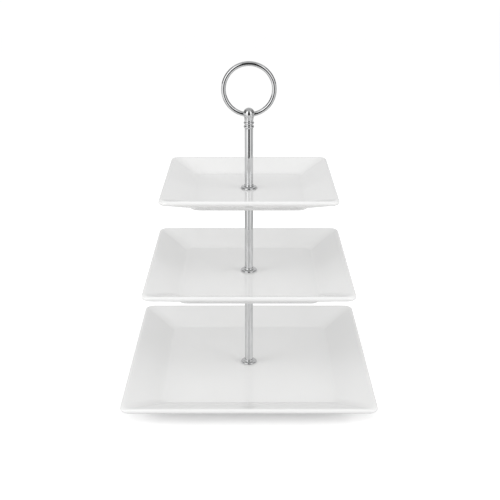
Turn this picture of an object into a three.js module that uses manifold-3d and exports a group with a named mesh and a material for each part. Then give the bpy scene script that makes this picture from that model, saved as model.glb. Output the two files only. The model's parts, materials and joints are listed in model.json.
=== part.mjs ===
// Tiered cake stand: three square porcelain plates on a column of screwed tubes, with a ring handle.
// Millimetres, +Z up. The origin is on the table under the column's axis, and the front faces -Y.
import * as THREE from 'three';
import { mergeVertices } from 'three/addons/utils/BufferGeometryUtils.js';
import Module from 'manifold-3d';

const wasm = await Module();
wasm.setup();

// ---------------------------------------------------------------- driving dimensions

// Plates. side: over the lip; rim: width of the sloping border; depth: floor below the lip's top;
// height: foot to lip.
const PLATES = {
  bottom: { side: 264, rim: 41, depth: 13, height: 23 },
  middle: { side: 216, rim: 37, depth: 13.5, height: 21.5 },
  top: { side: 179, rim: 33, depth: 12, height: 18.5 },
};
const FLOOR_THICKNESS = 4;
const BORDER_BEND = { innerReach: 0.16, outerReach: 0.75, outerRise: 0.4 }; // shares of rim and depth
const LIP_THICKNESS = 5;
const LIP_ARC = [60, -90]; // degrees from outward: from the slope's end over the edge to the underside
const LIP_CORNER_RADIUS = 9; // in plan, at the outer edge
const FLOOR_CORNER_RADIUS = 10; // in plan, where the border meets the floor
const FOOT_OUTSET = 4; // the foot's outer side stands this far outside the floor's edge
const FOOT_WIDTH = 5;
const FOOT_DRAFT = 1; // the foot narrows by this much on each side towards the table
const FOOT_LIFT = 2.4; // the foot's step below the sloping underside

// Column.
const ROD_DIAMETER = 9;
const ROD_WALL = 1;
const ROD_LENGTHS = { bottom: 105.5, middle: 87.5, top: 63.5 };
const THREAD_DIAMETER = 5;
const THREAD_ENGAGED = 8; // length of thread that holds two rods together
const INSERT_LENGTH = 12;
const UNDER_GASKET_THICKNESS = 1;
const UPPER_GASKET_THICKNESS = 0.5;
const GASKET_DIAMETER = 15;
const WASHER_THICKNESS = 1;
const WASHER_DIAMETER = 16;
const COLLAR_DIAMETER = 18;
const COLLAR_HEIGHT = 3.6;
const COLLAR_WEB = 1.2; // metal between the rod's end and the gasket
const COLLAR_LIP = 1.6; // radius of the collar's rounded shoulder
const COLLAR_WALL = 0.7; // metal round the rod at the collar's neck
const COLLAR_SWEEP_GAP = 0.2; // how close to the neck the hollow sweep's corner lies
const COLLAR_LIP_ARC = [0, 60]; // degrees from outward, up the shoulder from the flat base
const BOLT_HEAD_DIAMETER = 11;
const BOLT_HEAD_HEIGHT = 2.2;
const BOLT_HEAD_EDGE = 0.5; // straight side above the domed face
const BOLT_SOCKET_SIDES = 6;
const BOLT_SOCKET_ACROSS_CORNERS = 3.4;
const BOLT_SOCKET_DEPTH = 1.3;

// Finial and ring.
const BALL_DIAMETER = 12.2;
const BALL_CENTRE_HEIGHT = 15.7; // above the top rod's end
const BEAD_DIAMETER = 11.2;
const BEAD_THICKNESS = 3;
const BEAD_HEIGHTS = [1.9, 5.9]; // centres, above the top rod's end
const BEAD_ARC = 65; // degrees each side of the bead's widest place
const NECK_DIAMETER = 9.2;
const NECK_TAPER = 1; // the neck starts to widen this far below the ball
const BALL_FROM = -30; // degrees, where the ball's curve takes over from the neck
const SPIGOT_LENGTH = 9;
const RING_DIAMETER = 58; // over the bar
const RING_BAR_DIAMETER = 5;
const RING_END_GAP = 1.6; // between the bar's two ends, inside the ball
const RING_DROP = 1.3; // the bar passes this far below the ball's centre

// Clearances.
const SEAT_GAP = 0.05; // between faces that rest on each other
const FIT_GAP = 0.05; // radial, between pieces that are pressed together
const THREAD_GAP = 0.05; // radial, between a thread and its nut, both drawn as plain cylinders
const STUD_HOLE_GAP = 0.3; // radial, between a thread and a hole it passes through
const PLATE_HOLE_GAP = 1.5; // radial, between a thread and the hole in a plate

// Facets.
const ROUND_SIDES = 24;
const WASHER_SIDES = 20;
const BAR_SIDES = 10;
const RING_STEPS = 52;
const CORNER_STEPS = 3;
const BORDER_STEPS = 6;
const LIP_STEPS = 5;
const COLLAR_LIP_STEPS = 3;
const COLLAR_SWEEP_STEPS = 4;
const BOLT_HEAD_STEPS = 5;
const BEAD_STEPS = 4;
const BALL_STEPS = 7;
const CUT_OVERRUN = 1; // a cutting solid goes this far past the face it opens
const WELD = 1e-4; // corners closer than this are one corner

// ---------------------------------------------------------------- materials

function finish(color, roughness, metalness) {
  return new THREE.MeshStandardMaterial({ color, roughness, metalness });
}

const porcelain = () => finish(0xf2f2f0, 0.12, 0);
const chrome = () => finish(0xd9dadb, 0.06, 1);
const steel = () => finish(0xa9abac, 0.35, 1);
const rubber = () => finish(0xdcdcd8, 0.8, 0);
const brass = () => finish(0xb8964a, 0.35, 1);

// ---------------------------------------------------------------- solids and booleans

function solidOf(geometry) {
  const bare = geometry.clone();
  bare.deleteAttribute('normal');
  bare.deleteAttribute('uv');
  const merged = mergeVertices(bare, WELD);
  const vertProperties = new Float32Array(merged.attributes.position.array);
  const triVerts = new Uint32Array(merged.index.array);
  return new wasm.Manifold(new wasm.Mesh({ numProp: 3, vertProperties, triVerts }));
}

function geometryOf(solid) {
  const mesh = solid.getMesh();
  const geometry = new THREE.BufferGeometry();
  geometry.setAttribute('position', new THREE.BufferAttribute(mesh.vertProperties, 3));
  geometry.setIndex(new THREE.BufferAttribute(mesh.triVerts, 1));
  return geometry;
}

// A turned piece: a closed profile of [radius, z] points, counter-clockwise with r to the right and z up.
function turned(profile, sides = ROUND_SIDES) {
  const points = profile.map(([r, z]) => new THREE.Vector2(r, z));
  if (!points[0].equals(points.at(-1))) points.push(points[0].clone());
  return new THREE.LatheGeometry(points, sides).rotateX(Math.PI / 2);
}

// [radius, z] points along a circular arc, angles in degrees from the outward direction.
function arc(r, z, radius, from, to, steps) {
  return Array.from({ length: steps + 1 }, (_, i) => {
    const angle = THREE.MathUtils.degToRad(from + ((to - from) * i) / steps);
    return [r + radius * Math.cos(angle), z + radius * Math.sin(angle)];
  });
}

function tube(outer, inner, length, sides = ROUND_SIDES) {
  return turned([[inner, 0], [outer, 0], [outer, length], [inner, length]], sides);
}

function bar(radius, length, sides = ROUND_SIDES) {
  return turned([[0, 0], [radius, 0], [radius, length], [0, length]], sides);
}

// ---------------------------------------------------------------- plates

function roundedSquare(half, radius) {
  const flat = half - radius;
  const shape = new THREE.Shape();
  shape.absarc(flat, -flat, radius, -Math.PI / 2, 0);
  shape.absarc(flat, flat, radius, 0, Math.PI / 2);
  shape.absarc(-flat, flat, radius, Math.PI / 2, Math.PI);
  shape.absarc(-flat, -flat, radius, Math.PI, 1.5 * Math.PI);
  const points = shape.getPoints(CORNER_STEPS);
  if (points[0].distanceTo(points.at(-1)) < WELD) points.pop();
  return points;
}

// Skins a stack of rounded squares { half, radius, z }, closed by a flat face at each end.
// The stack starts at the top face's edge, goes out over the lip and comes back underneath.
function skinned(levels) {
  const rings = levels.map(({ half, radius, z }) => roundedSquare(half, radius).map((p) => [p.x, p.y, z]));
  const count = rings[0].length;
  const positions = [[0, 0, levels[0].z], ...rings.flat(), [0, 0, levels.at(-1).z]];
  const last = positions.length - 1;
  const index = [];
  for (let i = 0; i < count; i++) {
    const next = (i + 1) % count;
    index.push(0, 1 + i, 1 + next);
    index.push(last, last - count + next, last - count + i);
    for (let k = 0; k < rings.length - 1; k++) {
      const inner = 1 + k * count;
      const outer = inner + count;
      index.push(inner + i, outer + i, outer + next, inner + i, outer + next, inner + next);
    }
  }
  const geometry = new THREE.BufferGeometry();
  geometry.setAttribute('position', new THREE.Float32BufferAttribute(positions.flat(), 3));
  geometry.setIndex(index);
  return geometry;
}

// Heights and half widths of one plate, above its own foot.
function plateSizes({ side, rim, depth, height }) {
  const half = side / 2;
  const floor = height - depth;
  return { half, rim, height, floorHalf: half - rim, floor, underside: floor - FLOOR_THICKNESS };
}

// The border's upper face: a gentle slope inside the lip, then a steeper turn down to the floor.
function borderCurve({ half, rim, height, floorHalf, floor }) {
  const lipRadius = LIP_THICKNESS / 2;
  const lipTop = new THREE.Vector2(half - lipRadius, height);
  const floorEdge = new THREE.Vector2(floorHalf, floor);
  const innerPull = new THREE.Vector2(floorHalf + BORDER_BEND.innerReach * rim, floor);
  const outerHeight = THREE.MathUtils.lerp(floor, height, BORDER_BEND.outerRise);
  const outerPull = new THREE.Vector2(half - BORDER_BEND.outerReach * rim, outerHeight);
  return new THREE.CubicBezierCurve(floorEdge, innerPull, outerPull, lipTop);
}

function plate(spec) {
  const sizes = plateSizes(spec);
  const { half, height, floorHalf, floor, underside } = sizes;
  const cornerAt = (at) => {
    const share = THREE.MathUtils.clamp((at - floorHalf) / (half - floorHalf), 0, 1);
    return THREE.MathUtils.lerp(FLOOR_CORNER_RADIUS, LIP_CORNER_RADIUS, share);
  };
  const level = (at, z) => ({ half: at, radius: cornerAt(at), z });
  const lipRadius = LIP_THICKNESS / 2;
  const lipLine = arc(half - lipRadius, height - lipRadius, lipRadius, ...LIP_ARC, LIP_STEPS);
  const border = borderCurve(sizes).getPoints(BORDER_STEPS).map((p) => level(p.x, p.y));
  const lip = lipLine.map(([at, z]) => level(at, z));
  const footOuter = floorHalf + FOOT_OUTSET;
  const footInner = footOuter - FOOT_WIDTH;
  const foot = [
    level(footOuter, FOOT_LIFT),
    level(footOuter - FOOT_DRAFT, 0),
    level(footInner + FOOT_DRAFT, 0),
    level(footInner, underside),
  ];
  const body = solidOf(skinned([...border, ...lip, ...foot]));
  const drill = bar(THREAD_DIAMETER / 2 + PLATE_HOLE_GAP, height);
  return geometryOf(body.subtract(solidOf(drill)));
}

// ---------------------------------------------------------------- column fittings

const threadRadius = THREAD_DIAMETER / 2 - THREAD_GAP;
const rodRadius = ROD_DIAMETER / 2;
const insertRadius = rodRadius - ROD_WALL - FIT_GAP;
const studHole = THREAD_DIAMETER / 2 + STUD_HOLE_GAP;
const ringRadius = (RING_DIAMETER - RING_BAR_DIAMETER) / 2;

// The collar: a rounded shoulder, a hollow sweep up to the neck, and a socket for the rod's end.
function collar() {
  const socket = rodRadius + FIT_GAP;
  const neck = socket + COLLAR_WALL;
  const edge = COLLAR_DIAMETER / 2;
  const sweep = new THREE.QuadraticBezierCurve(
    new THREE.Vector2(edge - COLLAR_LIP, COLLAR_LIP),
    new THREE.Vector2(neck + COLLAR_SWEEP_GAP, COLLAR_LIP),
    new THREE.Vector2(neck, COLLAR_HEIGHT),
  );
  return turned([
    [studHole, 0],
    ...arc(edge - COLLAR_LIP, 0, COLLAR_LIP, ...COLLAR_LIP_ARC, COLLAR_LIP_STEPS),
    ...sweep.getPoints(COLLAR_SWEEP_STEPS).map((p) => [p.x, p.y]),
    [socket, COLLAR_HEIGHT],
    [socket, COLLAR_WEB],
    [studHole, COLLAR_WEB],
  ]);
}

function gasket(thickness) {
  return tube(GASKET_DIAMETER / 2, studHole, thickness - SEAT_GAP, WASHER_SIDES);
}

function washer() {
  return tube(WASHER_DIAMETER / 2, studHole, WASHER_THICKNESS - SEAT_GAP, WASHER_SIDES);
}

function rod(length) {
  return tube(rodRadius, rodRadius - ROD_WALL, length);
}

function insert() {
  return tube(insertRadius, THREAD_DIAMETER / 2, INSERT_LENGTH);
}

function stud(length) {
  return bar(threadRadius, length);
}

// The wide, low bolt that holds the bottom plate, its head downwards and its shank from z = 0 up.
function baseBolt(shankLength) {
  const head = BOLT_HEAD_DIAMETER / 2;
  const edge = SEAT_GAP + BOLT_HEAD_EDGE;
  const crown = new THREE.EllipseCurve(0, -edge, head, BOLT_HEAD_HEIGHT - edge, -Math.PI / 2, 0);
  const body = turned([
    ...crown.getPoints(BOLT_HEAD_STEPS).map((p) => [Math.max(p.x, 0), p.y]),
    [head, -SEAT_GAP],
    [threadRadius, -SEAT_GAP],
    [threadRadius, shankLength],
    [0, shankLength],
  ]);
  const socketLength = BOLT_SOCKET_DEPTH + CUT_OVERRUN;
  const socket = bar(BOLT_SOCKET_ACROSS_CORNERS / 2, socketLength, BOLT_SOCKET_SIDES);
  socket.translate(0, 0, -BOLT_HEAD_HEIGHT - CUT_OVERRUN);
  return geometryOf(solidOf(body).subtract(solidOf(socket)));
}

function finial() {
  const ball = BALL_DIAMETER / 2;
  const neck = NECK_DIAMETER / 2;
  const beads = BEAD_HEIGHTS.flatMap((z) => [
    [neck, z - BEAD_THICKNESS / 2],
    ...arc((BEAD_DIAMETER - BEAD_THICKNESS) / 2, z, BEAD_THICKNESS / 2, -BEAD_ARC, BEAD_ARC, BEAD_STEPS),
    [neck, z + BEAD_THICKNESS / 2],
  ]);
  const body = turned([
    [0, -SPIGOT_LENGTH],
    [threadRadius, -SPIGOT_LENGTH],
    [threadRadius, 0],
    [neck, 0],
    ...beads,
    [neck, BALL_CENTRE_HEIGHT - ball - NECK_TAPER],
    ...arc(0, BALL_CENTRE_HEIGHT, ball, BALL_FROM, 90, BALL_STEPS).slice(0, -1),
    [0, BALL_CENTRE_HEIGHT + ball],
  ]);
  // The bore's flat facets, not only its corners, stay clear of the bar.
  const boreRadius = (RING_BAR_DIAMETER / 2 + FIT_GAP) / Math.cos(Math.PI / BAR_SIDES);
  const bore = new THREE.TorusGeometry(ringRadius, boreRadius, BAR_SIDES, RING_STEPS).rotateX(Math.PI / 2);
  bore.translate(0, 0, BALL_CENTRE_HEIGHT - RING_DROP + ringRadius);
  return geometryOf(solidOf(body).subtract(solidOf(bore)));
}

// The line of a bar bent to a ring in the XZ plane about its own centre, open at the bottom by endGap.
class RingLine extends THREE.Curve {
  constructor(endGap) {
    super();
    this.half = endGap / 2 / ringRadius;
  }

  getPoint(t, target = new THREE.Vector3()) {
    const angle = this.half + t * 2 * (Math.PI - this.half);
    return target.set(ringRadius * Math.sin(angle), 0, -ringRadius * Math.cos(angle));
  }
}

function ring() {
  const section = new THREE.Shape().absarc(0, 0, RING_BAR_DIAMETER / 2, 0, 2 * Math.PI);
  const extrudePath = new RingLine(RING_END_GAP);
  const curveSegments = BAR_SIDES / 2;
  return new THREE.ExtrudeGeometry(section, { steps: RING_STEPS, curveSegments, extrudePath });
}

// ---------------------------------------------------------------- assembly, from the table up

const stand = new THREE.Group();

function place(name, geometry, material, z) {
  const mesh = new THREE.Mesh(geometry, material);
  mesh.name = name;
  mesh.position.z = z;
  stand.add(mesh);
}

// A tier from its plate up to its rod's top end. The plate's foot is at the height given.
function placeTier(tier, foot) {
  const { floor, underside } = plateSizes(PLATES[tier]);
  const washerName = tier === 'bottom' ? 'base_washer' : `${tier}_support_washer`;
  const rodLength = ROD_LENGTHS[tier];
  const washerFoot = foot + underside - UNDER_GASKET_THICKNESS - WASHER_THICKNESS;
  const gasketFoot = foot + floor + SEAT_GAP;
  const collarFoot = gasketFoot + UPPER_GASKET_THICKNESS;
  const rodFoot = collarFoot + COLLAR_WEB + SEAT_GAP;
  const rodTop = rodFoot + rodLength;

  place(washerName, washer(), steel(), washerFoot);
  place(`${tier}_under_gasket`, gasket(UNDER_GASKET_THICKNESS), rubber(), washerFoot + WASHER_THICKNESS);
  place(`${tier}_plate`, plate(PLATES[tier]), porcelain(), foot);
  place(`${tier}_upper_gasket`, gasket(UPPER_GASKET_THICKNESS), rubber(), gasketFoot);
  place(`${tier}_collar`, collar(), chrome(), collarFoot);
  place(`${tier}_rod`, rod(rodLength), chrome(), rodFoot);
  place(`${tier}_rod_lower_insert`, insert(), brass(), rodFoot);
  place(`${tier}_rod_upper_insert`, insert(), brass(), rodTop - INSERT_LENGTH);
  return { washerFoot, rodFoot, rodTop };
}

function placeBaseBolt({ washerFoot, rodFoot }) {
  place('base_bolt', baseBolt(rodFoot - washerFoot + THREAD_ENGAGED), steel(), washerFoot);
}

// The stud is fixed in its own rod and screws down into the rod below.
function placeStud(tier, { washerFoot, rodFoot }) {
  const studFoot = washerFoot - THREAD_ENGAGED;
  place(`${tier}_stud`, stud(rodFoot + INSERT_LENGTH - studFoot), steel(), studFoot);
}

function placeHandle({ rodTop }) {
  const finialFoot = rodTop + SEAT_GAP;
  place('finial', finial(), chrome(), finialFoot);
  place('handle_ring', ring(), chrome(), finialFoot + BALL_CENTRE_HEIGHT - RING_DROP + ringRadius);
}

// The foot of a plate that stands on the tier below it.
function footAbove({ rodTop }, spec) {
  const stack = SEAT_GAP + WASHER_THICKNESS + UNDER_GASKET_THICKNESS;
  return rodTop + stack - plateSizes(spec).underside;
}

const bottomTier = placeTier('bottom', 0);
placeBaseBolt(bottomTier);
const middleTier = placeTier('middle', footAbove(bottomTier, PLATES.middle));
placeStud('middle', middleTier);
const topTier = placeTier('top', footAbove(middleTier, PLATES.top));
placeStud('top', topTier);
placeHandle(topTier);

export default stand;
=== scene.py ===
import json
import math

import bpy
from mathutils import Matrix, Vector


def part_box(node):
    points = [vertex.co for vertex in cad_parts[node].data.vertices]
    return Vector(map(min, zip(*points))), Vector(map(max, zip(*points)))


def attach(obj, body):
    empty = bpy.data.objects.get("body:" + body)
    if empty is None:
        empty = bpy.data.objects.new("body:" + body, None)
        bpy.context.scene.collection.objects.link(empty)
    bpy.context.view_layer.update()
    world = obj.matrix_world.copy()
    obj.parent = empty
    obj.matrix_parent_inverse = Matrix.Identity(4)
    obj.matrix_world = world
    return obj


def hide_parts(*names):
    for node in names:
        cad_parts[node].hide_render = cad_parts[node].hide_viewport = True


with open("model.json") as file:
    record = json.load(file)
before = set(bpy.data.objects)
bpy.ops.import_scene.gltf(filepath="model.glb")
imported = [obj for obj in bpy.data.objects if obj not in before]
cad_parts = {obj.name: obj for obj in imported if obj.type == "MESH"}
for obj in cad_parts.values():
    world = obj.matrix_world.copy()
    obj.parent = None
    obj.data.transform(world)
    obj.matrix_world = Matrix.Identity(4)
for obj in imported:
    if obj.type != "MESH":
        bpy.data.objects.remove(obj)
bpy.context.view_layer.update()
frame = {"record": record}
scene = bpy.context.scene

# ---------------------------------------------------------------- sizes, in metres

MM = 0.001

# Width of each plate's sloping border, measured in from its outer edge.
BORDER_WIDTHS = {"bottom": 41 * MM, "middle": 37 * MM, "top": 33 * MM}
BORDER_INNER_REACH = 0.16   # of its width: how far the border lies flat before it rises
BORDER_OUTER_REACH = 0.75   # of its width: how far the straight slope runs in from the edge
BORDER_OUTER_RISE = 0.4     # of its depth: where that slope starts
LIP_THICKNESS = 5 * MM
LIP_CORNER = 9 * MM
FLOOR_CORNER = 10 * MM
FOOT_OUTSET = 4 * MM
FOOT_WIDTH = 5 * MM
FOOT_DRAFT = 1 * MM
FOOT_LIFT = 2.4 * MM
FOOT_EASE = 0.7 * MM        # rounding of the foot's edges
BARE_HEIGHT = 0.4 * FOOT_EASE   # the clay is bare up to here on the foot
FLAT_EDGE = 1 * MM          # a flat face is held flat this far from a curved one
BORDER_STEPS = 28
LIP_ARC = (75, -90)         # degrees from outward, over the lip and down to the underside
LIP_STEPS = 14
PLATE_HOLE_GAP = 1.5 * MM   # between a stud and the plate's hole

TUBE_WALL = 1 * MM
TUBE_EASE = 0.25 * MM
COLLAR_LIP = 1.6 * MM       # radius of a collar's rounded shoulder
COLLAR_WALL = 0.7 * MM
COLLAR_WEB = 1.2 * MM       # metal between a rod's end and the gasket
COLLAR_EASE = 0.12 * MM
COLLAR_LIP_ARC = (0, 75)    # degrees from outward, up the shoulder from the flat base
COLLAR_STEPS = 14
STUD_HOLE_GAP = 0.3 * MM
FIT_GAP = 0.05 * MM
THREAD_PITCH = 0.8 * MM
THREAD_DEPTH = 0.42 * MM
THREAD_EASE = 0.4 * MM      # chamfer at a stud's ends
THREAD_POINTS = 10          # in each pitch
WASHER_EASE = 0.12 * MM
GASKET_EASE = 0.35 * MM

BOLT_HEAD_EDGE = 0.5 * MM
SOCKET_SIDES = 6
SOCKET_ACROSS_CORNERS = 3.4 * MM
SOCKET_DEPTH = 1.3 * MM
SOCKET_LAND = 0.15 * MM     # flat ring round the socket
BOLT_HEAD_STEPS = 12

BALL_RADIUS = 6.1 * MM
BALL_CENTRE = 15.7 * MM               # above the finial's seat
BALL_ARC = (-28, 90)                  # degrees from outward, from the throat to the crown
BALL_STEPS = 30
BEAD_RADIUS = 5.6 * MM
BEAD_HALF_THICKNESS = 1.5 * MM
BEAD_HEIGHTS = (1.9 * MM, 5.9 * MM)   # above the finial's seat
BEAD_ARC = (-70, 70)
BEAD_STEPS = 12
NECK_RADIUS = 4.6 * MM
NECK_TAPER = 1 * MM                   # the neck starts to widen this far below the ball
THROAT_STEPS = 10
SPIGOT_LENGTH = 9 * MM
RING_BAR = 2.5 * MM
RING_END_GAP = 1.6 * MM
RING_BAR_STEPS = 32

LONGEST_CUT = 0.4           # of a side's length, that easing one corner may take
LONGEST_HOLD = 0.49         # of a side's length, how far in its straight is held straight
WELD = 1e-7                 # points closer than this are one point
TURN_STEPS = 96
CORNER_STEPS = 14
CORNER_BEND = 0.25          # corner radius of the guide square, whose half width is 1
SIDE_CUTS = 5


# ---------------------------------------------------------------- node helpers

def put(tree, kind, inputs=(), **settings):
    """Adds a node, with its settings and its inputs given by place or by name."""
    made = tree.nodes.new(kind)
    for name, value in settings.items():
        setattr(made, name, value)
    pairs = inputs.items() if isinstance(inputs, dict) else enumerate(inputs)
    for key, value in pairs:
        if isinstance(value, bpy.types.NodeSocket):
            tree.links.new(value, made.inputs[key])
        elif value is not None:
            made.inputs[key].default_value = value
    return made


def sum_of(tree, operation, *values):
    """The result of a Math node."""
    return put(tree, "ShaderNodeMath", values, operation=operation).outputs[0]


def vector_of(tree, operation, *values):
    """The result of a Vector Math node."""
    return put(tree, "ShaderNodeVectorMath", values, operation=operation).outputs[0]


def new_tree(name, kind, inputs, outputs):
    """A node group whose sockets are (name, type, default) going in and (name, type) coming out."""
    tree = bpy.data.node_groups.new(name, kind)
    for socket, socket_type, default in inputs:
        made = tree.interface.new_socket(socket, in_out="INPUT", socket_type=socket_type)
        if default is not None:
            made.default_value = default
    for socket, socket_type in outputs:
        tree.interface.new_socket(socket, in_out="OUTPUT", socket_type=socket_type)
    return tree, tree.nodes.new("NodeGroupInput"), tree.nodes.new("NodeGroupOutput")


# ---------------------------------------------------------------- shapes made by rule

def grid_of(tree, columns, rows):
    """A grid of points with the column and row of each: (mesh, column, row)."""
    grid = put(tree, "GeometryNodeMeshGrid", {"Vertices X": columns, "Vertices Y": rows})
    index = put(tree, "GeometryNodeInputIndex").outputs[0]
    column = sum_of(tree, "FLOOR", sum_of(tree, "DIVIDE", index, rows))
    row = sum_of(tree, "MODULO", index, rows)
    return grid.outputs["Mesh"], column, row


def looked_up(tree, geometry, value, index, data_type="FLOAT"):
    """What a value is at one point of another geometry."""
    inputs = {"Geometry": geometry, "Value": value, "Index": index}
    return put(tree, "GeometryNodeSampleIndex", inputs, data_type=data_type).outputs[0]


def mark_on(tree, name):
    """A named number that an outline's points carry."""
    return put(tree, "GeometryNodeInputNamedAttribute", {"Name": name}, data_type="FLOAT").outputs[0]


def close_up(tree, result, mesh, material):
    """Welds the seams, smooths the shading and sets the finish, as the last steps of a tree."""
    welded = put(tree, "GeometryNodeMergeByDistance", {"Geometry": mesh, "Distance": WELD}).outputs[0]
    smooth = put(tree, "GeometryNodeSetShadeSmooth", {"Geometry": welded}).outputs[0]
    real = put(tree, "GeometryNodeRealizeInstances", {"Geometry": smooth}).outputs[0]
    done = put(tree, "GeometryNodeSetMaterial", {"Geometry": real, "Material": material}).outputs[0]
    tree.links.new(done, result.inputs[0])


def plate_tree():
    """Sweeps an outline of (half width, height) round a square with rounded corners."""
    tree, given, result = new_tree(
        "outline_round_a_square", "GeometryNodeTree",
        [("Outline", "NodeSocketGeometry", None),
         ("Corner Steps", "NodeSocketInt", CORNER_STEPS),
         ("Side Cuts", "NodeSocketInt", SIDE_CUTS),
         ("Finish", "NodeSocketMaterial", None)],
        [("Plate", "NodeSocketGeometry")])
    outline = given.outputs["Outline"]

    square = put(tree, "GeometryNodeCurvePrimitiveQuadrilateral", {"Width": 2, "Height": 2}).outputs[0]
    rounded = put(tree, "GeometryNodeFilletCurve",
                  {"Curve": square, "Count": given.outputs["Corner Steps"], "Radius": CORNER_BEND},
                  mode="POLY")
    guide = put(tree, "GeometryNodeSubdivideCurve",
                {"Curve": rounded.outputs[0], "Cuts": given.outputs["Side Cuts"]}).outputs[0]
    guide_size = put(tree, "GeometryNodeAttributeDomainSize", {"Geometry": guide}, component="CURVE")
    around = guide_size.outputs[0]
    along = put(tree, "GeometryNodeAttributeDomainSize", {"Geometry": outline}).outputs[0]

    mesh, column, row = grid_of(tree, sum_of(tree, "ADD", around, 1), sum_of(tree, "ADD", along, 1))
    column = sum_of(tree, "MODULO", column, around)
    row = sum_of(tree, "MODULO", row, along)

    # A place on the guide is a corner's centre plus an outward direction.
    position = put(tree, "GeometryNodeInputPosition").outputs[0]
    place = looked_up(tree, guide, position, column, "FLOAT_VECTOR")
    flat_end = 1 - CORNER_BEND
    inner = (flat_end, flat_end, 0)
    bounded = vector_of(tree, "MAXIMUM", place, (-flat_end, -flat_end, 0))
    centre = vector_of(tree, "MINIMUM", bounded, inner)
    outward = vector_of(tree, "NORMALIZE", vector_of(tree, "SUBTRACT", place, centre))
    corner = put(tree, "ShaderNodeVectorMath", [centre], operation="SCALE")
    corner.inputs["Scale"].default_value = 1 / flat_end

    point = put(tree, "ShaderNodeSeparateXYZ", [looked_up(tree, outline, position, row, "FLOAT_VECTOR")])
    half_width = point.outputs["X"]
    radius = looked_up(tree, outline, mark_on(tree, "corner_radius"), row)
    flat = sum_of(tree, "SUBTRACT", half_width, radius)
    reach = put(tree, "ShaderNodeVectorMath", [corner.outputs[0]], operation="SCALE")
    tree.links.new(flat, reach.inputs["Scale"])
    turn = put(tree, "ShaderNodeVectorMath", [outward], operation="SCALE")
    tree.links.new(radius, turn.inputs["Scale"])
    level = put(tree, "ShaderNodeCombineXYZ", {"Z": point.outputs["Z"]}).outputs[0]
    spot = vector_of(tree, "ADD", vector_of(tree, "ADD", reach.outputs[0], turn.outputs[0]), level)

    bare = looked_up(tree, outline, mark_on(tree, "bare_clay"), row)
    placed = put(tree, "GeometryNodeSetPosition", {"Geometry": mesh, "Position": spot}).outputs[0]
    marked = put(tree, "GeometryNodeStoreNamedAttribute",
                 {"Geometry": placed, "Name": "bare_clay", "Value": bare}).outputs[0]
    close_up(tree, result, marked, given.outputs["Finish"])
    return tree


def turning_tree():
    """Turns an outline of (radius, height) round the upright axis.

    Where it is marked threaded it carries a right-hand thread.
    Where it is marked flat_sided it is a prism.
    """
    tree, given, result = new_tree(
        "outline_round_the_axis", "GeometryNodeTree",
        [("Outline", "NodeSocketGeometry", None),
         ("Steps", "NodeSocketInt", TURN_STEPS),
         ("Closed", "NodeSocketInt", 1),
         ("Thread Pitch", "NodeSocketFloat", THREAD_PITCH),
         ("Thread Depth", "NodeSocketFloat", THREAD_DEPTH),
         ("Flat Sides", "NodeSocketInt", SOCKET_SIDES),
         ("Finish", "NodeSocketMaterial", None)],
        [("Turned", "NodeSocketGeometry")])
    outline, steps = given.outputs["Outline"], given.outputs["Steps"]
    along = put(tree, "GeometryNodeAttributeDomainSize", {"Geometry": outline}).outputs[0]
    rows = sum_of(tree, "ADD", along, given.outputs["Closed"])
    mesh, column, row = grid_of(tree, sum_of(tree, "ADD", steps, 1), rows)
    row = sum_of(tree, "MODULO", row, along)
    share = sum_of(tree, "DIVIDE", sum_of(tree, "MODULO", column, steps), steps)

    position = put(tree, "GeometryNodeInputPosition").outputs[0]
    point = put(tree, "ShaderNodeSeparateXYZ", [looked_up(tree, outline, position, row, "FLOAT_VECTOR")])
    threaded = looked_up(tree, outline, mark_on(tree, "threaded"), row)
    climb = sum_of(tree, "DIVIDE", point.outputs["Z"], given.outputs["Thread Pitch"])
    phase = sum_of(tree, "FRACT", sum_of(tree, "SUBTRACT", climb, share))
    groove = sum_of(tree, "PINGPONG", phase, 0.5)
    cut = sum_of(tree, "MULTIPLY", sum_of(tree, "MULTIPLY", groove, 2), given.outputs["Thread Depth"])
    radius = sum_of(tree, "SUBTRACT", point.outputs["X"], sum_of(tree, "MULTIPLY", cut, threaded))

    # A flat side is nearest to the axis at its middle.
    sides = given.outputs["Flat Sides"]
    along_side = sum_of(tree, "FRACT", sum_of(tree, "ADD", sum_of(tree, "MULTIPLY", share, sides), 0.5))
    from_middle = sum_of(tree, "DIVIDE", sum_of(tree, "SUBTRACT", along_side, 0.5), sides)
    off_middle = sum_of(tree, "MULTIPLY", from_middle, math.tau)
    longer = sum_of(tree, "DIVIDE", 1, sum_of(tree, "COSINE", off_middle))
    extra = sum_of(tree, "MULTIPLY", sum_of(tree, "SUBTRACT", longer, 1),
                   looked_up(tree, outline, mark_on(tree, "flat_sided"), row))
    radius = sum_of(tree, "MULTIPLY", radius, sum_of(tree, "ADD", extra, 1))

    angle = sum_of(tree, "MULTIPLY", share, math.tau)
    across = sum_of(tree, "MULTIPLY", radius, sum_of(tree, "COSINE", angle))
    deep = sum_of(tree, "MULTIPLY", radius, sum_of(tree, "SINE", angle))
    spot = put(tree, "ShaderNodeCombineXYZ", [across, deep, point.outputs["Z"]]).outputs[0]
    placed = put(tree, "GeometryNodeSetPosition", {"Geometry": mesh, "Position": spot}).outputs[0]
    close_up(tree, result, placed, given.outputs["Finish"])
    return tree


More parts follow.
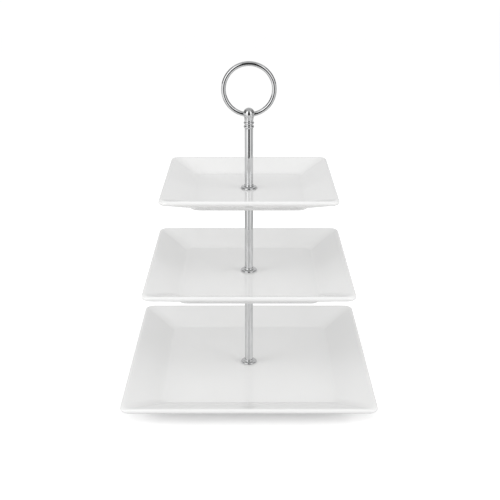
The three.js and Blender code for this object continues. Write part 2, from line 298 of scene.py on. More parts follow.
def ring_tree():
    """Bends a round bar to an upright ring, open at the bottom."""
    tree, given, result = new_tree(
        "bar_bent_to_a_ring", "GeometryNodeTree",
        [("Geometry", "NodeSocketGeometry", None),
         ("Ring Radius", "NodeSocketFloat", None),
         ("Bar Radius", "NodeSocketFloat", RING_BAR),
         ("Open Angle", "NodeSocketFloat", None),
         ("Centre Height", "NodeSocketFloat", None),
         ("Steps", "NodeSocketInt", 2 * TURN_STEPS),
         ("Finish", "NodeSocketMaterial", None)],
        [("Ring", "NodeSocketGeometry")])
    open_angle = given.outputs["Open Angle"]
    start = sum_of(tree, "ADD", sum_of(tree, "MULTIPLY", open_angle, 0.5), -math.pi / 2)
    line = put(tree, "GeometryNodeCurveArc",
               {"Resolution": given.outputs["Steps"], "Radius": given.outputs["Ring Radius"],
                "Start Angle": start, "Sweep Angle": sum_of(tree, "SUBTRACT", math.tau, open_angle)},
               mode="RADIUS").outputs[0]
    bar = put(tree, "GeometryNodeCurvePrimitiveCircle", {"Resolution": RING_BAR_STEPS}, mode="RADIUS")
    tree.links.new(given.outputs["Bar Radius"], bar.inputs["Radius"])
    swept = put(tree, "GeometryNodeCurveToMesh",
                {"Curve": line, "Profile Curve": bar.outputs[0], "Fill Caps": True}).outputs[0]
    lift = put(tree, "ShaderNodeCombineXYZ", {"Z": given.outputs["Centre Height"]}).outputs[0]
    upright = put(tree, "GeometryNodeTransform",
                  {"Geometry": swept, "Translation": lift, "Rotation": (math.pi / 2, 0, 0)}).outputs[0]
    close_up(tree, result, upright, given.outputs["Finish"])
    return tree


def host_of(name, points=(), **marks):
    """An object to run a tree on: an outline of (across, height) points with a number for each mark."""
    mesh = bpy.data.meshes.new(name)
    edges = [(i, i + 1) for i in range(len(points) - 1)]
    mesh.from_pydata([(x, 0, z) for x, z in points], edges, [])
    for mark, values in marks.items():
        mesh.attributes.new(mark, "FLOAT", "POINT").data.foreach_set("value", values)
    host = bpy.data.objects.new(name, mesh)
    scene.collection.objects.link(host)
    return host


def plain_mesh(host):
    """The host as its modifiers leave it, as a plain object at the origin."""
    graph = bpy.context.evaluated_depsgraph_get()
    mesh = bpy.data.meshes.new_from_object(host.evaluated_get(graph))
    host.modifiers.clear()
    piece = bpy.data.objects.new(host.name + "_piece", mesh)
    scene.collection.objects.link(piece)
    bpy.data.objects.remove(host)
    return piece


def run(tree, host, **values):
    """Runs a tree on a host. A value's name is its socket's, in small letters with underscores."""
    modifier = host.modifiers.new(tree.name, "NODES")
    modifier.node_group = tree
    for item in tree.interface.items_tree:
        key = item.name.lower().replace(" ", "_")
        if item.item_type == "SOCKET" and item.in_out == "INPUT" and key in values:
            modifier[item.identifier] = values[key]
    return plain_mesh(host)


# ---------------------------------------------------------------- outlines

def arc(x, z, radius, start, end, steps):
    """Points on a circular arc, with angles in degrees from outward, counter-clockwise."""
    angles = [math.radians(start + (end - start) * i / steps) for i in range(steps + 1)]
    return [(x + radius * math.cos(a), z + radius * math.sin(a)) for a in angles]


def bezier(points, steps):
    """Points on the Bezier curve with these control points."""
    def at(t):
        left = list(points)
        while len(left) > 1:
            left = [tuple(a + (b - a) * t for a, b in zip(p, q)) for p, q in zip(left, left[1:])]
        return left[0]
    return [at(i / steps) for i in range(steps + 1)]


def eased(corners, ease, closed=True, steps=4):
    """Rounds an outline's corners, with a point either side to hold the straights straight.

    The two ends of an open outline stay as they are.
    """
    points = []
    count = len(corners)
    for i, corner in enumerate(corners):
        if not closed and i in (0, count - 1):
            points.append(corner)
            continue
        before, after = Vector(corners[i - 1]), Vector(corners[(i + 1) % count])
        here = Vector(corner)
        back, on = before - here, after - here
        cut = min(ease, LONGEST_CUT * back.length, LONGEST_CUT * on.length)
        sides = [here + back.normalized() * cut, here, here + on.normalized() * cut]
        points.append(tuple(here + back * min(LONGEST_HOLD, 2 * cut / back.length)))
        points += bezier([tuple(s) for s in sides], steps)
        points.append(tuple(here + on * min(LONGEST_HOLD, 2 * cut / on.length)))
    return points


def between(start, end, distance):
    """The point this far along the line from one point to another."""
    line = Vector(end) - Vector(start)
    return tuple(Vector(start) + line.normalized() * distance)


def tube_outline(inner, outer, bottom, top, ease):
    """A tube or washer with eased edges."""
    return eased([(inner, bottom), (outer, bottom), (outer, top), (inner, top)], ease)


def plate_outline(tier):
    """One plate's outline over the border and lip and back under the foot, and its two marks."""
    low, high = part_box(f"{tier}_plate")
    half, foot, rim = high[0], low[2], high[2]
    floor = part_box(f"{tier}_upper_gasket")[0][2] - FIT_GAP
    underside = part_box(f"{tier}_under_gasket")[1][2] + FIT_GAP
    hole = stud_radius(tier) + FIT_GAP + PLATE_HOLE_GAP
    width = BORDER_WIDTHS[tier]
    floor_half = half - width
    lip = LIP_THICKNESS / 2

    slope_start = (half - BORDER_OUTER_REACH * width, floor + BORDER_OUTER_RISE * (rim - floor))
    border = bezier([(floor_half, floor), (floor_half + BORDER_INNER_REACH * width, floor), slope_start,
                     (half - lip, rim)], BORDER_STEPS)
    foot_outer = floor_half + FOOT_OUTSET
    foot_inner = foot_outer - FOOT_WIDTH
    glazed = [*border, *arc(half - lip, rim - lip, lip, *LIP_ARC, LIP_STEPS)]
    foot_top = (foot_outer, foot + FOOT_LIFT)
    under = eased([between(glazed[-1], foot_top, FLAT_EDGE), foot_top, (foot_outer - FOOT_DRAFT, foot),
                   (foot_inner + FOOT_DRAFT, foot), (foot_inner, underside), (hole, underside),
                   (hole, floor), (floor_half - FLAT_EDGE, floor)], FOOT_EASE, closed=False)
    points = glazed + under

    def corner_at(across):
        if across < floor_half:
            return hole + (FLOOR_CORNER - hole) * max(0, across - hole) / (floor_half - hole)
        return FLOOR_CORNER + (LIP_CORNER - FLOOR_CORNER) * (across - floor_half) / width

    on_foot = [float(z < foot + BARE_HEIGHT and foot_inner < x < foot_outer) for x, z in points]
    return points, [corner_at(x) for x, z in points], on_foot


def stud_radius(tier):
    """The radius of the stud or bolt that goes through a plate."""
    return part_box("middle_stud" if tier == "middle" else "top_stud")[1][0]


def collar_outline(tier):
    """The collar: a rounded shoulder and a hollow sweep up to the neck, with a socket for the rod."""
    low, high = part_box(f"{tier}_collar")
    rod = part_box(f"{tier}_rod")[1][0]
    edge, bottom, top = high[0], low[2], high[2]
    socket = rod + FIT_GAP
    neck = socket + COLLAR_WALL
    hole = stud_radius(tier) + FIT_GAP + STUD_HOLE_GAP
    shoulder = bottom + COLLAR_LIP
    sweep = bezier([(edge - COLLAR_LIP, shoulder), (neck + FIT_GAP, shoulder), (neck, top)], COLLAR_STEPS)
    lip = arc(edge - COLLAR_LIP, bottom, COLLAR_LIP, *COLLAR_LIP_ARC, COLLAR_STEPS)
    web = bottom + COLLAR_WEB
    inside = [(socket, top), (socket, web), (hole, web), (hole, bottom)]
    rest = eased([sweep[-2], sweep[-1], *inside, lip[0], lip[1]], COLLAR_EASE, closed=False)[1:-1]
    return [*lip[1:], *sweep[:-1], *rest]


def threaded_run(radius, start, end):
    """Points up a thread, close enough together to show its ridges."""
    count = round(abs(end - start) / THREAD_PITCH * THREAD_POINTS)
    return [(radius, start + (end - start) * i / count) for i in range(count + 1)]


def stud_outline(tier):
    """A threaded stud with chamfered ends, and where its thread is."""
    low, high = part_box(f"{tier}_stud")
    radius, bottom, top = high[0], low[2], high[2]
    run_up = threaded_run(radius, bottom + THREAD_EASE, top - THREAD_EASE)
    core = radius - THREAD_EASE
    points = [(0, bottom), (core, bottom), *run_up, (core, top), (0, top)]
    return points, [0, 0, *[1] * len(run_up), 0, 0]


def bolt_outline():
    """The base bolt with its domed head and hexagonal socket, and where it is threaded and flat-sided."""
    low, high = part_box("base_bolt")
    washer_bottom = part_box("base_washer")[0][2]
    head, bottom, top = high[0], low[2], high[2]
    seat = washer_bottom - FIT_GAP
    edge = seat - BOLT_HEAD_EDGE
    radius = stud_radius("bottom")
    land = SOCKET_ACROSS_CORNERS / 2 + SOCKET_LAND
    inner = math.asin(land / head)
    angles = [inner + (math.pi / 2 - inner) * i / BOLT_HEAD_STEPS for i in range(BOLT_HEAD_STEPS + 1)]
    crown = [(head * math.sin(a), edge - (edge - bottom) * math.cos(a)) for a in angles]
    flat = SOCKET_ACROSS_CORNERS / 2 * math.cos(math.pi / SOCKET_SIDES)
    socket = [(flat, bottom + SOCKET_DEPTH), (flat, crown[0][1])]
    run_up = threaded_run(radius, seat + THREAD_EASE, top - THREAD_EASE)
    points = [(0, bottom + SOCKET_DEPTH), *socket, *crown, (head, seat), (radius, seat), *run_up,
              (radius - THREAD_EASE, top), (0, top)]
    threaded = [int(point in run_up) for point in points]
    return points, threaded, [int(point in socket) for point in points]


def finial_outline(seat):
    """The spigot, two beads, the neck and the ball, above and below the finial's seat on the rod."""
    spigot = stud_radius("top")
    run_up = threaded_run(spigot, seat - SPIGOT_LENGTH + THREAD_EASE, seat - THREAD_EASE)
    below = [(0, seat - SPIGOT_LENGTH), (spigot - THREAD_EASE, seat - SPIGOT_LENGTH), *run_up]
    beads = []
    for height in BEAD_HEIGHTS:
        beads.append((NECK_RADIUS, seat + height - BEAD_HALF_THICKNESS))
        beads += arc(BEAD_RADIUS - BEAD_HALF_THICKNESS, seat + height, BEAD_HALF_THICKNESS,
                     *BEAD_ARC, BEAD_STEPS)
        beads.append((NECK_RADIUS, seat + height + BEAD_HALF_THICKNESS))
    ball = arc(0, seat + BALL_CENTRE, BALL_RADIUS, *BALL_ARC, BALL_STEPS)
    throat_bottom = (NECK_RADIUS, beads[-1][1] + FIT_GAP)
    bend = (NECK_RADIUS, seat + BALL_CENTRE - BALL_RADIUS - NECK_TAPER)
    throat = bezier([throat_bottom, bend, ball[0]], THROAT_STEPS)[:-1]
    crown = (0, seat + BALL_CENTRE + BALL_RADIUS)
    above = [(spigot, seat), (NECK_RADIUS, seat), *beads, *throat, *ball[:-1], crown]
    return below + above, [0, 0, *[1] * len(run_up)] + [0] * len(above)


# ---------------------------------------------------------------- effects that several finishes share

SMUDGE_EDGES = (0.42, 0.75)         # of the cloud, between which a smudge fades in
SMUDGE_DETAIL = 4
SMUDGE_ROUGHNESS = 0.55
SCRATCH_TURNS = (0.3, 1.35, 2.4)    # radians, one for each set of hairlines
SCRATCH_TILT = (1, 0.7, 1.3)        # how that turn is shared between the three axes
SCRATCH_STRETCH = (1, 0.03, 1)      # scale along the hairlines, which draws them out
SCRATCH_WIDTH = 0.015               # of their spacing
RUN_DETAIL = 2                      # of the noise behind the turning lines


def handling_marks():
    """Faint smudges and hairline scratches from wiping and washing."""
    tree, given, result = new_tree(
        "handling_marks", "ShaderNodeTree",
        [("Place", "NodeSocketVector", None),
         ("Smudge Size", "NodeSocketFloat", 20 * MM),
         ("Scratch Spacing", "NodeSocketFloat", 1.5 * MM)],
        [("Smudge", "NodeSocketFloat"), ("Scratch", "NodeSocketFloat")])
    place = given.outputs["Place"]
    smudge_scale = sum_of(tree, "DIVIDE", 1, given.outputs["Smudge Size"])
    cloud = put(tree, "ShaderNodeTexNoise",
                {"Vector": place, "Scale": smudge_scale, "Detail": SMUDGE_DETAIL,
                 "Roughness": SMUDGE_ROUGHNESS})
    patch = put(tree, "ShaderNodeMapRange",
                {"Value": cloud.outputs["Fac"], "From Min": SMUDGE_EDGES[0], "From Max": SMUDGE_EDGES[1]})
    scratch_scale = sum_of(tree, "DIVIDE", 1, given.outputs["Scratch Spacing"])
    lines = []
    for turn in SCRATCH_TURNS:
        angles = tuple(turn * share for share in SCRATCH_TILT)
        aimed = put(tree, "ShaderNodeMapping", {"Vector": place, "Rotation": angles})
        drawn = put(tree, "ShaderNodeMapping", {"Vector": aimed.outputs[0], "Scale": SCRATCH_STRETCH})
        hair = put(tree, "ShaderNodeTexVoronoi", {"Vector": drawn.outputs[0], "Scale": scratch_scale},
                   feature="DISTANCE_TO_EDGE")
        line = put(tree, "ShaderNodeMapRange",
                   {"Value": hair.outputs["Distance"], "From Min": 0.0, "From Max": SCRATCH_WIDTH,
                    "To Min": 1.0, "To Max": 0.0})
        lines.append(line.outputs["Result"])
    hairs = sum_of(tree, "MAXIMUM", sum_of(tree, "MAXIMUM", lines[0], lines[1]), lines[2])
    kept = sum_of(tree, "MULTIPLY", hairs, patch.outputs["Result"])
    tree.links.new(patch.outputs["Result"], result.inputs["Smudge"])
    tree.links.new(kept, result.inputs["Scratch"])
    return tree


def turning_lines():
    """The fine rings that a lathe or a polishing wheel leaves round the upright axis."""
    tree, given, result = new_tree(
        "turning_lines", "ShaderNodeTree",
        [("Place", "NodeSocketVector", None), ("Spacing", "NodeSocketFloat", 0.15 * MM)],
        [("Height", "NodeSocketFloat")])
    axes = put(tree, "ShaderNodeSeparateXYZ", [given.outputs["Place"]])
    flat = put(tree, "ShaderNodeCombineXYZ", {"X": axes.outputs["X"], "Y": axes.outputs["Y"]})
    radius = put(tree, "ShaderNodeVectorMath", [flat.outputs[0]], operation="LENGTH").outputs["Value"]
    run_out = sum_of(tree, "DIVIDE", sum_of(tree, "ADD", radius, axes.outputs["Z"]), given.outputs["Spacing"])
    rings = put(tree, "ShaderNodeTexNoise", {"W": run_out, "Scale": 1, "Detail": RUN_DETAIL},
                noise_dimensions="1D")
    tree.links.new(rings.outputs["Fac"], result.inputs["Height"])
    return tree


def specks():
    """Small round spots, scattered: pinholes in a glaze, grit in clay or dust on rubber."""
    tree, given, result = new_tree(
        "specks", "ShaderNodeTree",
        [("Place", "NodeSocketVector", None),
         ("Spacing", "NodeSocketFloat", 6 * MM),
         ("Size", "NodeSocketFloat", 0.05)],
        [("Speck", "NodeSocketFloat")])
    scale = sum_of(tree, "DIVIDE", 1, given.outputs["Spacing"])
    cell = put(tree, "ShaderNodeTexVoronoi", {"Vector": given.outputs["Place"], "Scale": scale})
    spot = put(tree, "ShaderNodeMapRange",
               {"Value": cell.outputs["Distance"], "From Min": 0.0, "From Max": given.outputs["Size"],
                "To Min": 1.0, "To Max": 0.0})
    tree.links.new(spot.outputs["Result"], result.inputs["Speck"])
    return tree


# ---------------------------------------------------------------- finishes

def new_finish(name):
    """A material with its tree, its Principled shader and the piece's own coordinates."""
    material = bpy.data.materials.new(name)
    material.use_nodes = True
    tree = material.node_tree
    shader = tree.nodes["Principled BSDF"]
    place = put(tree, "ShaderNodeTexCoord").outputs["Object"]
    return material, tree, shader, place


def use(tree, group, **values):
    """Places a shared group. A value's name is its socket's, in small letters with underscores."""
    made = put(tree, "ShaderNodeGroup", node_tree=group)
    for key, value in values.items():
        socket = made.inputs[key.replace("_", " ").title()]
        if isinstance(value, bpy.types.NodeSocket):
            tree.links.new(value, socket)
        else:
            socket.default_value = value
    return made.outputs


def spread(tree, value, low, high):
    """A value from 0 to 1, spread between two others."""
    return put(tree, "ShaderNodeMapRange", {"Value": value, "To Min": low, "To Max": high}).outputs["Result"]


def tint(tree, mask, colour, other):
    """One colour where the mask is 0 and the other where it is 1."""
    mix = put(tree, "ShaderNodeMix", data_type="RGBA")
    ends = [socket for socket in mix.inputs if socket.type == "RGBA"]
    tree.links.new(mask, mix.inputs[0])
    for end, value in zip(ends, (colour, other)):
        if isinstance(value, bpy.types.NodeSocket):
            tree.links.new(value, end)
        else:
            end.default_value = (*value, 1)
    return next(socket for socket in mix.outputs if socket.type == "RGBA")


def relief(tree, shader, *layers):
    """Bumps on bumps, each (height, depth in metres, strength), leading to the shader's normal."""
    below = None
    for height, depth, strength in layers:
        bump = put(tree, "ShaderNodeBump", {"Height": height, "Distance": depth, "Strength": strength})
        if below:
            tree.links.new(below, bump.inputs["Normal"])
        below = bump.outputs["Normal"]
    tree.links.new(below, shader.inputs["Normal"])


def noise(tree, place, per_metre, detail):
    """Cloudy noise from 0 to 1, of this many cycles a metre."""
    return put(tree, "ShaderNodeTexNoise",
               {"Vector": place, "Scale": per_metre, "Detail": detail}).outputs["Fac"]


def mark_on_surface(tree, name):
    """A named number carried by the surface, for a material."""
    return put(tree, "ShaderNodeAttribute", attribute_name=name).outputs["Fac"]


# Noise sizes are in cycles a metre, and a pair of colours or of roughnesses is its two ends.
POOLS_PER_METRE = 22
PEEL_PER_METRE = 260                 # the glaze's orange peel
CLAY_GRAIN_PER_METRE = 2600
GLAZE_WHITES = ((0.815, 0.815, 0.81), (0.835, 0.835, 0.832))
PINHOLE_COLOUR = (0.70, 0.68, 0.65)
PINHOLE_SPACING = 11 * MM
PINHOLE_SIZE = 0.016                 # of their spacing
CLAY_COLOURS = ((0.70, 0.68, 0.64), (0.80, 0.785, 0.755))
GLAZE_ROUGHNESSES = (0.26, 0.34)
CLAY_ROUGHER = 0.45                  # added on the bare foot
GLAZE_COAT = {"Coat Roughness": 0.02, "Coat IOR": 1.5, "Specular IOR Level": 0.3}
POOL_DEPTH = 0.012 * MM
PEEL_DEPTH = 0.0004 * MM
PINHOLE_DEPTH = 0.05 * MM
PINHOLE_SOFTNESS = 0.5               # strength of their bump
CLAY_DEPTH = 0.08 * MM


def glazed_porcelain(spots):
    """White glaze over white clay, pooled a little thicker and thinner, with a bare matt foot."""
    material, tree, shader, place = new_finish("glazed_porcelain")
    bare = mark_on_surface(tree, "bare_clay")
    glazed = sum_of(tree, "SUBTRACT", 1, bare)
    pool = noise(tree, place, POOLS_PER_METRE, 2)
    peel = noise(tree, place, PEEL_PER_METRE, 1)
    grain = noise(tree, place, CLAY_GRAIN_PER_METRE, 3)
    pinhole = use(tree, spots, place=place, spacing=PINHOLE_SPACING, size=PINHOLE_SIZE)["Speck"]

    glaze = tint(tree, pool, *GLAZE_WHITES)
    pitted = tint(tree, pinhole, glaze, PINHOLE_COLOUR)
    clay = tint(tree, grain, *CLAY_COLOURS)
    tree.links.new(tint(tree, bare, pitted, clay), shader.inputs["Base Color"])
    smooth = spread(tree, pool, *GLAZE_ROUGHNESSES)
    rough = sum_of(tree, "ADD", smooth, sum_of(tree, "MULTIPLY", bare, CLAY_ROUGHER))
    tree.links.new(rough, shader.inputs["Roughness"])
    tree.links.new(glazed, shader.inputs["Coat Weight"])
    for socket, value in GLAZE_COAT.items():
        shader.inputs[socket].default_value = value
    relief(tree, shader, (pool, POOL_DEPTH, 1), (peel, PEEL_DEPTH, 1),
           (pinhole, PINHOLE_DEPTH, PINHOLE_SOFTNESS),
           (sum_of(tree, "MULTIPLY", grain, bare), CLAY_DEPTH, 1))
    return material


CHROME_SMUDGE = 9 * MM
CHROME_SCRATCHES = 1.6 * MM
CHROME_RINGS = 0.2 * MM
CHROME_COLOURS = ((0.68, 0.685, 0.69), (0.62, 0.625, 0.632))
CHROME_ROUGHNESSES = (0.035, 0.10)
SCRATCH_ROUGHER = 0.12
CHROME_RING_DEPTH = 0.0004 * MM
CHROME_SCRATCH_DEPTH = -0.001 * MM


def polished_chrome(marks, rings):
    """Mirror plating with the odd wiping mark and very faint polishing rings."""
    material, tree, shader, place = new_finish("polished_chrome")
    worn = use(tree, marks, place=place, smudge_size=CHROME_SMUDGE, scratch_spacing=CHROME_SCRATCHES)
    polish = use(tree, rings, place=place, spacing=CHROME_RINGS)["Height"]
    cloud = tint(tree, worn["Smudge"], *CHROME_COLOURS)
    tree.links.new(cloud, shader.inputs["Base Color"])
    shader.inputs["Metallic"].default_value = 1
    hazed = spread(tree, worn["Smudge"], *CHROME_ROUGHNESSES)
    scratched = sum_of(tree, "MULTIPLY", worn["Scratch"], SCRATCH_ROUGHER)
    tree.links.new(sum_of(tree, "ADD", hazed, scratched), shader.inputs["Roughness"])
    relief(tree, shader, (polish, CHROME_RING_DEPTH, 1), (worn["Scratch"], CHROME_SCRATCH_DEPTH, 1))
    return material


METAL_SMUDGE = 5 * MM
METAL_SCRATCHES = 0.9 * MM
LATHE_LINES = 0.12 * MM
MOTTLE_PER_METRE = 420
SMUDGE_ROUGHER = 0.14
LATHE_DEPTH = 0.004 * MM
METAL_SCRATCH_DEPTH = -0.003 * MM


def plain_metal(name, low, high, roughness, marks, rings):
    """Turned metal: two tones, lathe rings and handling marks."""
    material, tree, shader, place = new_finish(name)
    worn = use(tree, marks, place=place, smudge_size=METAL_SMUDGE, scratch_spacing=METAL_SCRATCHES)
    lathe = use(tree, rings, place=place, spacing=LATHE_LINES)["Height"]
    mottle = noise(tree, place, MOTTLE_PER_METRE, 3)
    tree.links.new(tint(tree, mottle, low, high), shader.inputs["Base Color"])
    shader.inputs["Metallic"].default_value = 1
    handled = spread(tree, worn["Smudge"], roughness, roughness + SMUDGE_ROUGHER)
    tree.links.new(handled, shader.inputs["Roughness"])
    relief(tree, shader, (lathe, LATHE_DEPTH, 1), (worn["Scratch"], METAL_SCRATCH_DEPTH, 1))
    return material


MOULD_GRAIN_PER_METRE = 1800
CLOUD_PER_METRE = 160
DUST_SPACING = 1.2 * MM
DUST_SIZE = 0.06                     # of its spacing
RUBBER_COLOURS = ((0.70, 0.70, 0.675), (0.78, 0.78, 0.76))
DUST_COLOUR = (0.88, 0.88, 0.87)
RUBBER_ROUGHNESSES = (0.5, 0.72)
MOULD_GRAIN_DEPTH = 0.02 * MM


def soft_rubber(spots):
    """Cloudy white rubber with a moulded grain and a little dust."""
    material, tree, shader, place = new_finish("soft_rubber")
    grain = noise(tree, place, MOULD_GRAIN_PER_METRE, 3)
    cloud = noise(tree, place, CLOUD_PER_METRE, 2)
    dust = use(tree, spots, place=place, spacing=DUST_SPACING, size=DUST_SIZE)["Speck"]
    body = tint(tree, cloud, *RUBBER_COLOURS)
    tree.links.new(tint(tree, dust, body, DUST_COLOUR), shader.inputs["Base Color"])
    tree.links.new(spread(tree, grain, *RUBBER_ROUGHNESSES), shader.inputs["Roughness"])
    relief(tree, shader, (grain, MOULD_GRAIN_DEPTH, 1))
    return material


STEEL_TONES = ((0.50, 0.51, 0.525), (0.62, 0.63, 0.64))
STEEL_ROUGHNESS = 0.28
BRASS_TONES = ((0.60, 0.45, 0.18), (0.72, 0.57, 0.27))
BRASS_ROUGHNESS = 0.25

MARKS = handling_marks()
RINGS = turning_lines()
SPOTS = specks()
PORCELAIN = glazed_porcelain(SPOTS)
CHROME = polished_chrome(MARKS, RINGS)
STEEL = plain_metal("zinc_plated_steel", *STEEL_TONES, STEEL_ROUGHNESS, MARKS, RINGS)
BRASS = plain_metal("turned_brass", *BRASS_TONES, BRASS_ROUGHNESS, MARKS, RINGS)
RUBBER = soft_rubber(SPOTS)


# ---------------------------------------------------------------- pieces

PLATE_TREE = plate_tree()
TURNING_TREE = turning_tree()
RING_TREE = ring_tree()


def body_with(node):
    """The body that a CAD node belongs to."""
    bodies = frame["record"]["behaviour"]["bodies"]
    return next(body for body, nodes in bodies.items() if node in nodes)


def stand_for(piece, node):
    """Lets a finished piece take a CAD node's place."""
    piece.name = f"{node}_finished"
    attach(piece, body_with(node))
    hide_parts(node)
    return piece


def turned(node, finish, points, threaded=None, flat_sided=None, steps=TURN_STEPS, closed=1):
    """A round piece from its outline and the marks on its points."""
    unmarked = [0] * len(points)
    host = host_of(f"{node}_outline", points, threaded=threaded or unmarked,
                   flat_sided=flat_sided or unmarked)
    piece = run(TURNING_TREE, host, steps=steps, closed=closed, finish=finish)
    return stand_for(piece, node)


def sleeve(node, finish, inner, ease, steps=TURN_STEPS):
    """A tube or washer as its CAD node gives it, with eased edges."""
    low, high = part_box(node)
    return turned(node, finish, tube_outline(inner, high[0], low[2], high[2], ease), steps=steps)


def make_plate(tier):
    """One porcelain plate."""
    points, corner_radius, bare = plate_outline(tier)
    host = host_of(f"{tier}_plate_outline", points, corner_radius=corner_radius, bare_clay=bare)
    stand_for(run(PLATE_TREE, host, finish=PORCELAIN), f"{tier}_plate")


def make_fittings(tier):
    """Everything on the column that each tier has."""
    bolt_hole = stud_radius(tier) + FIT_GAP
    loose_hole = bolt_hole + STUD_HOLE_GAP
    rod_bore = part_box(f"{tier}_rod")[1][0] - TUBE_WALL
    washer = "base_washer" if tier == "bottom" else f"{tier}_support_washer"
    sleeve(washer, STEEL, loose_hole, WASHER_EASE)
    sleeve(f"{tier}_under_gasket", RUBBER, loose_hole, GASKET_EASE)
    sleeve(f"{tier}_upper_gasket", RUBBER, loose_hole, GASKET_EASE)
    sleeve(f"{tier}_rod", CHROME, rod_bore, TUBE_EASE)
    turned(f"{tier}_collar", CHROME, collar_outline(tier))
    for end in ("lower", "upper"):
        node = f"{tier}_rod_{end}_insert"
        low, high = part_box(node)
        bore = threaded_run(bolt_hole, high[2] - THREAD_EASE, low[2] + THREAD_EASE)
        wide = bolt_hole + THREAD_EASE
        points = [(wide, low[2]), (high[0], low[2]), (high[0], high[2]), (wide, high[2]), *bore]
        turned(node, BRASS, points, [0] * 4 + [1] * len(bore), steps=TURN_STEPS // 2)


def make_studs():
    """The two studs that join rod to rod, and the bolt under the bottom plate."""
    for tier in ("middle", "top"):
        points, threaded = stud_outline(tier)
        turned(f"{tier}_stud", STEEL, points, threaded, closed=0)
    points, threaded, flat_sided = bolt_outline()
    turned("base_bolt", STEEL, points, threaded, flat_sided, closed=0)


def make_handle():
    """The finial and the ring through its ball."""
    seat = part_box("finial")[0][2] + SPIGOT_LENGTH
    points, threaded = finial_outline(seat)
    turned("finial", CHROME, points, threaded, closed=0)
    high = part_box("handle_ring")[1]
    ring_radius = high[0] - RING_BAR
    open_angle = 2 * math.asin(RING_END_GAP / 2 / ring_radius)
    ring = run(RING_TREE, host_of("ring_line"), ring_radius=ring_radius, open_angle=open_angle,
               centre_height=high[2] - high[0], finish=CHROME)
    stand_for(ring, "handle_ring")


for tier in ("bottom", "middle", "top"):
    make_plate(tier)
    make_fittings(tier)
make_studs()
make_handle()


# ---------------------------------------------------------------- floor, light and camera

FLOOR_GLOW = 0.35           # added where the camera sees the floor, so that it comes out white
FAR_GLOW = 0.46             # the same far away, where the softboxes give less light
GLOW_RISES = (1.5, 5)       # metres from the stand, between one and the other
FLOOR_HALF = 15             # metres
WEAVE_PER_METRE = 60
FLOOR_SEEN = ((0.84, 0.84, 0.84), (0.86, 0.86, 0.86))   # its cloth, as the camera sees it
FLOOR_GIVEN = (0.70, 0.70, 0.70)    # what it gives back to everything else
FLOOR_ROUGHNESS = 0.9
CARD_STEPS = 8
CEILING_STEPS = 48


def pale_floor():
    """A wide white sweep that comes out white, with a soft shadow under the stand."""
    material, tree, shader, place = new_finish("white_sweep")
    weave = noise(tree, place, WEAVE_PER_METRE, 4)
    seen = put(tree, "ShaderNodeLightPath").outputs["Is Camera Ray"]
    cloth = tint(tree, weave, *FLOOR_SEEN)
    tree.links.new(tint(tree, seen, FLOOR_GIVEN, cloth), shader.inputs["Base Color"])
    shader.inputs["Roughness"].default_value = FLOOR_ROUGHNESS
    shader.inputs["Specular IOR Level"].default_value = 0
    shader.inputs["Emission Color"].default_value = (1, 1, 1, 1)
    away = put(tree, "ShaderNodeVectorMath", [place], operation="LENGTH").outputs["Value"]
    glow = put(tree, "ShaderNodeMapRange",
               {"Value": away, "From Min": GLOW_RISES[0], "From Max": GLOW_RISES[1],
                "To Min": FLOOR_GLOW, "To Max": FAR_GLOW}).outputs["Result"]
    tree.links.new(sum_of(tree, "MULTIPLY", seen, glow), shader.inputs["Emission Strength"])
    mesh = bpy.data.meshes.new("sweep")
    near, far = -FLOOR_HALF, FLOOR_HALF
    corners = [(near, near, 0), (far, near, 0), (far, far, 0), (near, far, 0)]
    mesh.from_pydata(corners, [], [(0, 1, 2, 3)])
    mesh.materials.append(material)
    floor = bpy.data.objects.new("sweep", mesh)
    scene.collection.objects.link(floor)


def studio_card(name, azimuths, brightness, rise, reach, steps=CARD_STEPS):
    """A curved card that only reflections see, from one height and distance to another."""
    start, end = azimuths
    angles = [math.radians(start + (end - start) * i / steps) for i in range(steps + 1)]
    corners = [(r * math.sin(a), -r * math.cos(a), z) for r, z in zip(reach, rise) for a in angles]
    faces = [(i, i + 1, i + steps + 2, i + steps + 1) for i in range(steps)]
    mesh = bpy.data.meshes.new(name)
    mesh.from_pydata(corners, [], faces)
    material = bpy.data.materials.new(name)
    material.use_nodes = True
    tree = material.node_tree
    tree.nodes.remove(tree.nodes["Principled BSDF"])
    glow = put(tree, "ShaderNodeEmission", {"Color": (1, 1, 1, 1), "Strength": brightness})
    tree.links.new(glow.outputs[0], tree.nodes["Material Output"].inputs["Surface"])
    material.cycles.emission_sampling = "NONE"
    mesh.materials.append(material)
    card = bpy.data.objects.new(name, mesh)
    scene.collection.objects.link(card)
    for ray in ("camera", "diffuse", "transmission", "volume_scatter", "shadow"):
        setattr(card, "visible_" + ray, False)


def softbox(name, place, aim, size, watts):
    """A square-cornered lamp that aims at a point."""
    lamp = bpy.data.lights.new(name, "AREA")
    lamp.shape = "RECTANGLE"
    lamp.size, lamp.size_y = size
    lamp.energy = watts
    box = bpy.data.objects.new(name, lamp)
    scene.collection.objects.link(box)
    box.location = place
    box.rotation_euler = (Vector(aim) - Vector(place)).to_track_quat("-Z", "Y").to_euler()


WORLD_BRIGHTNESS = 0.66
# Each softbox: its place, where it aims, its width and height in metres, and its watts.
SOFTBOXES = {
    "front_softbox": ((-0.2, -1.45, 1.65), (0, 0, 0.1), (1.6, 1.2), 8.5),
    "left_softbox": ((-2.1, -0.8, 1.0), (0, 0, 0.12), (1.8, 1.2), 23),
    "right_softbox": ((2.1, -0.8, 1.0), (0, 0, 0.12), (1.8, 1.2), 22),
}
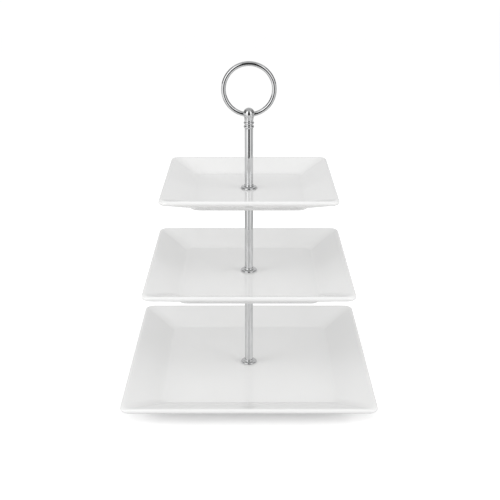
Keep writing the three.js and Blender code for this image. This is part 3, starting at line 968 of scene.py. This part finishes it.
# Each card: where it starts and ends, in degrees from the front to the right, and its brightness.
LOW_CARDS = {
    "front": (-19, 24, 0.01), "front_right": (24, 57, 0.95), "right": (57, 90, 0.5),
    "back_right": (90, 150, 0.68), "back": (150, 210, 0.65), "back_left": (210, 275, 0.72),
    "left": (275, 309, 0.95), "front_left": (309, 341, 1.3),
}
LOW_RISE, LOW_REACH = (0.001, 0.35), (0.62, 0.62)
TABLE_CARDS = {
    "front": (-18, 10, 0.45), "front_right": (10, 40, 0.85), "right": (40, 75, 0.95),
    "back_right": (75, 150, 0.45), "back": (150, 250, 0.62), "left": (250, 287, 0.45),
    "front_left": (287, 314, 0.85), "near_left": (314, 342, 1.15),
}
TABLE_RISE, TABLE_REACH = (0.001, 0.001), (0.2, 0.619)
HIGH_CARDS = {
    "front": (-18, 20, 0.02), "front_right": (20, 60, 1.3), "right": (60, 130, 0.15),
    "back": (130, 230, 0.7), "left": (230, 300, 0.15), "front_left": (300, 342, 1.6),
}
HIGH_RISE, HIGH_REACH = (0.351, 0.85), (0.62, 0.5)
CEILING_BRIGHTNESS = 0.55
CEILING_RISE, CEILING_REACH = (0.852, 1.1), (0.5, 0.01)
WHOLE_TURN = (0, 360)


def set_light():
    """A white world, three softboxes and the cards that give the chrome its streaks."""
    world = bpy.data.worlds.new("white_studio")
    world.use_nodes = True
    background = world.node_tree.nodes["Background"]
    background.inputs["Color"].default_value = (1, 1, 1, 1)
    background.inputs["Strength"].default_value = WORLD_BRIGHTNESS
    scene.world = world
    for name, settings in SOFTBOXES.items():
        softbox(name, *settings)
    for name, (start, end, brightness) in LOW_CARDS.items():
        studio_card(f"low_{name}_card", (start, end), brightness, LOW_RISE, LOW_REACH)
    for name, (start, end, brightness) in TABLE_CARDS.items():
        studio_card(f"table_{name}_card", (start, end), brightness, TABLE_RISE, TABLE_REACH)
    for name, (start, end, brightness) in HIGH_CARDS.items():
        studio_card(f"high_{name}_card", (start, end), brightness, HIGH_RISE, HIGH_REACH)
    studio_card("ceiling_card", WHOLE_TURN, CEILING_BRIGHTNESS, CEILING_RISE, CEILING_REACH, CEILING_STEPS)


LENS = 64.81                # focal length, for a sensor this wide, in millimetres
SENSOR_WIDTH = 36
LENS_SHIFT = 0.0022
CAMERA_PLACE = (0, -0.9316, 0.4932)
CAMERA_PITCH = 20.36        # degrees down


def set_camera():
    """A long lens, a little above the stand."""
    lens = bpy.data.cameras.new("camera")
    lens.lens = LENS
    lens.sensor_width = SENSOR_WIDTH
    lens.shift_x = LENS_SHIFT
    camera = bpy.data.objects.new("camera", lens)
    scene.collection.objects.link(camera)
    camera.location = CAMERA_PLACE
    camera.rotation_euler = (math.radians(90 - CAMERA_PITCH), 0, 0)
    scene.camera = camera


pale_floor()
set_light()
set_camera()
scene.view_settings.view_transform = "Standard"
